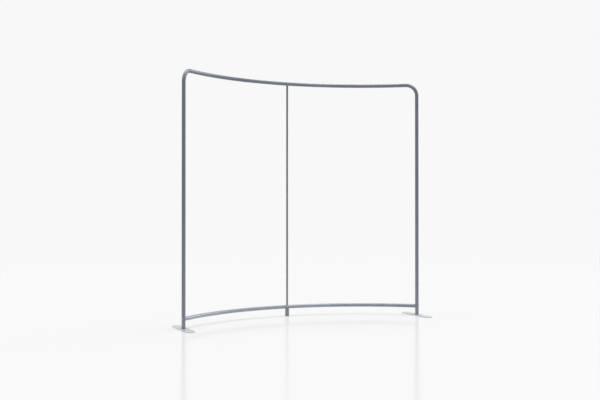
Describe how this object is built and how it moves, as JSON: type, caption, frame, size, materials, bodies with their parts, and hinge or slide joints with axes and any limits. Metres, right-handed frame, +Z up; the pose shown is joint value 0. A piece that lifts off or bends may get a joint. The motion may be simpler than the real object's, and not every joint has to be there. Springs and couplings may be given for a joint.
{
  "type": "curved display backwall frame",
  "caption": "Free-standing tube frame for a stretch cover, curved in plan, with rounded top corners, top and bottom rails, a thin centre pole, a short centre leg and flat base plates.",
  "frame": {"origin": "on the floor, in the middle of the frame's outer box", "axes": "+X along the wall from the left upright to the right one, +Y towards the back that bows out, +Z up"},
  "size_m": [2.49, 0.7283, 2.3],
  "materials": {
    "tube": "satin blue-grey anodised",
    "sleeve": "mill",
    "plate": "satin silver powder coat",
    "screw": "zinc plated",
    "spring": "spring steel",
    "button": "nickel plated",
    "plastic": "moulded black",
    "foot": "moulded black"
  },
  "bodies": {
    "frame": {"left_upright_lower_tube": "tube", "left_upright_upper_tube": "tube", "left_corner_tube": "tube", "bottom_left_tube": "tube", "left_upright_sleeve": "sleeve", "left_corner_sleeve": "sleeve", "top_left_sleeve": "sleeve", "bottom_left_sleeve": "sleeve", "left_rail_stub": "sleeve", "left_rail_screw": "screw", "left_base_screw": "screw", "left_upright_plug": "plastic", "right_upright_lower_tube": "tube", "right_upright_upper_tube": "tube", "right_corner_tube": "tube", "bottom_right_tube": "tube", "right_upright_sleeve": "sleeve", "right_corner_sleeve": "sleeve", "top_right_sleeve": "sleeve", "bottom_right_sleeve": "sleeve", "right_rail_stub": "sleeve", "right_rail_screw": "screw", "right_base_screw": "screw", "right_upright_plug": "plastic", "top_middle_tube": "tube", "bottom_middle_tube": "tube", "pole_lower_tube": "tube", "pole_upper_tube": "tube", "pole_top_stub": "sleeve", "pole_bottom_stub": "sleeve", "centre_leg_tube": "tube", "leg_plug": "plastic", "leg_foot_cap": "foot", "leg_bolt": "screw", "left_upright_spring": "spring", "left_corner_spring": "spring", "top_left_spring": "spring", "bottom_left_spring": "spring", "left_rail_end_spring": "spring", "right_upright_spring": "spring", "right_corner_spring": "spring", "top_right_spring": "spring", "bottom_right_spring": "spring", "right_rail_end_spring": "spring", "pole_middle_spring": "spring", "pole_top_spring": "spring"},
    "left_upright_button": {"left_upright_button": "button"},
    "left_corner_button": {"left_corner_button": "button"},
    "top_left_button": {"top_left_button": "button"},
    "bottom_left_button": {"bottom_left_button": "button"},
    "left_rail_end_button": {"left_rail_end_button": "button"},
    "right_upright_button": {"right_upright_button": "button"},
    "right_corner_button": {"right_corner_button": "button"},
    "top_right_button": {"top_right_button": "button"},
    "bottom_right_button": {"bottom_right_button": "button"},
    "right_rail_end_button": {"right_rail_end_button": "button"},
    "pole_middle_button": {"pole_middle_button": "button"},
    "pole_top_button": {"pole_top_button": "button"},
    "left_base_plate": {"left_base_plate": "plate"},
    "right_base_plate": {"right_base_plate": "plate"}
  },
  "joints": [
    {"name": "left_upright_button_press", "type": "slide", "parent": "frame", "child": "left_upright_button", "axis": [0, -1, 0], "range_m": [0, 0.0051], "stiffness_N_per_m": 2200, "springref_m": -0.001, "deforming": ["left_upright_spring"]},
    {"name": "left_corner_button_press", "type": "slide", "parent": "frame", "child": "left_corner_button", "axis": [0, -1, 0], "range_m": [0, 0.0051], "stiffness_N_per_m": 2200, "springref_m": -0.001, "deforming": ["left_corner_spring"]},
    {"name": "top_left_button_press", "type": "slide", "parent": "frame", "child": "top_left_button", "axis": [0.2668, -0.9637, 0], "range_m": [0, 0.0051], "stiffness_N_per_m": 2200, "springref_m": -0.001, "deforming": ["top_left_spring"]},
    {"name": "bottom_left_button_press", "type": "slide", "parent": "frame", "child": "bottom_left_button", "axis": [0.2668, -0.9637, 0], "range_m": [0, 0.0051], "stiffness_N_per_m": 2200, "springref_m": -0.001, "deforming": ["bottom_left_spring"]},
    {"name": "left_rail_end_button_press", "type": "slide", "parent": "frame", "child": "left_rail_end_button", "axis": [0.6611, -0.7503, 0], "range_m": [0, 0.0051], "stiffness_N_per_m": 2200, "springref_m": -0.001, "deforming": ["left_rail_end_spring"]},
    {"name": "right_upright_button_press", "type": "slide", "parent": "frame", "child": "right_upright_button", "axis": [0, -1, 0], "range_m": [0, 0.0051], "stiffness_N_per_m": 2200, "springref_m": -0.001, "deforming": ["right_upright_spring"]},
    {"name": "right_corner_button_press", "type": "slide", "parent": "frame", "child": "right_corner_button", "axis": [0, -1, 0], "range_m": [0, 0.0051], "stiffness_N_per_m": 2200, "springref_m": -0.001, "deforming": ["right_corner_spring"]},
    {"name": "top_right_button_press", "type": "slide", "parent": "frame", "child": "top_right_button", "axis": [-0.2668, -0.9637, 0], "range_m": [0, 0.0051], "stiffness_N_per_m": 2200, "springref_m": -0.001, "deforming": ["top_right_spring"]},
    {"name": "bottom_right_button_press", "type": "slide", "parent": "frame", "child": "bottom_right_button", "axis": [-0.2668, -0.9637, 0], "range_m": [0, 0.0051], "stiffness_N_per_m": 2200, "springref_m": -0.001, "deforming": ["bottom_right_spring"]},
    {"name": "right_rail_end_button_press", "type": "slide", "parent": "frame", "child": "right_rail_end_button", "axis": [-0.6611, -0.7503, 0], "range_m": [0, 0.0051], "stiffness_N_per_m": 2200, "springref_m": -0.001, "deforming": ["right_rail_end_spring"]},
    {"name": "pole_middle_button_press", "type": "slide", "parent": "frame", "child": "pole_middle_button", "axis": [0, -1, 0], "range_m": [0, 0.0042], "stiffness_N_per_m": 1500, "springref_m": -0.001, "deforming": ["pole_middle_spring"]},
    {"name": "pole_top_button_press", "type": "slide", "parent": "frame", "child": "pole_top_button", "axis": [0, -1, 0], "range_m": [0, 0.0042], "stiffness_N_per_m": 1500, "springref_m": -0.001, "deforming": ["pole_top_spring"]},
    {"name": "left_base_plate_swivel", "type": "hinge", "parent": "frame", "child": "left_base_plate", "pos_m": [-1.2, -0.12415, 0.003], "axis": [0, 0, 1], "continuous": true},
    {"name": "right_base_plate_swivel", "type": "hinge", "parent": "frame", "child": "right_base_plate", "pos_m": [1.2, -0.12415, 0.003], "axis": [0, 0, 1], "continuous": true}
  ]
}
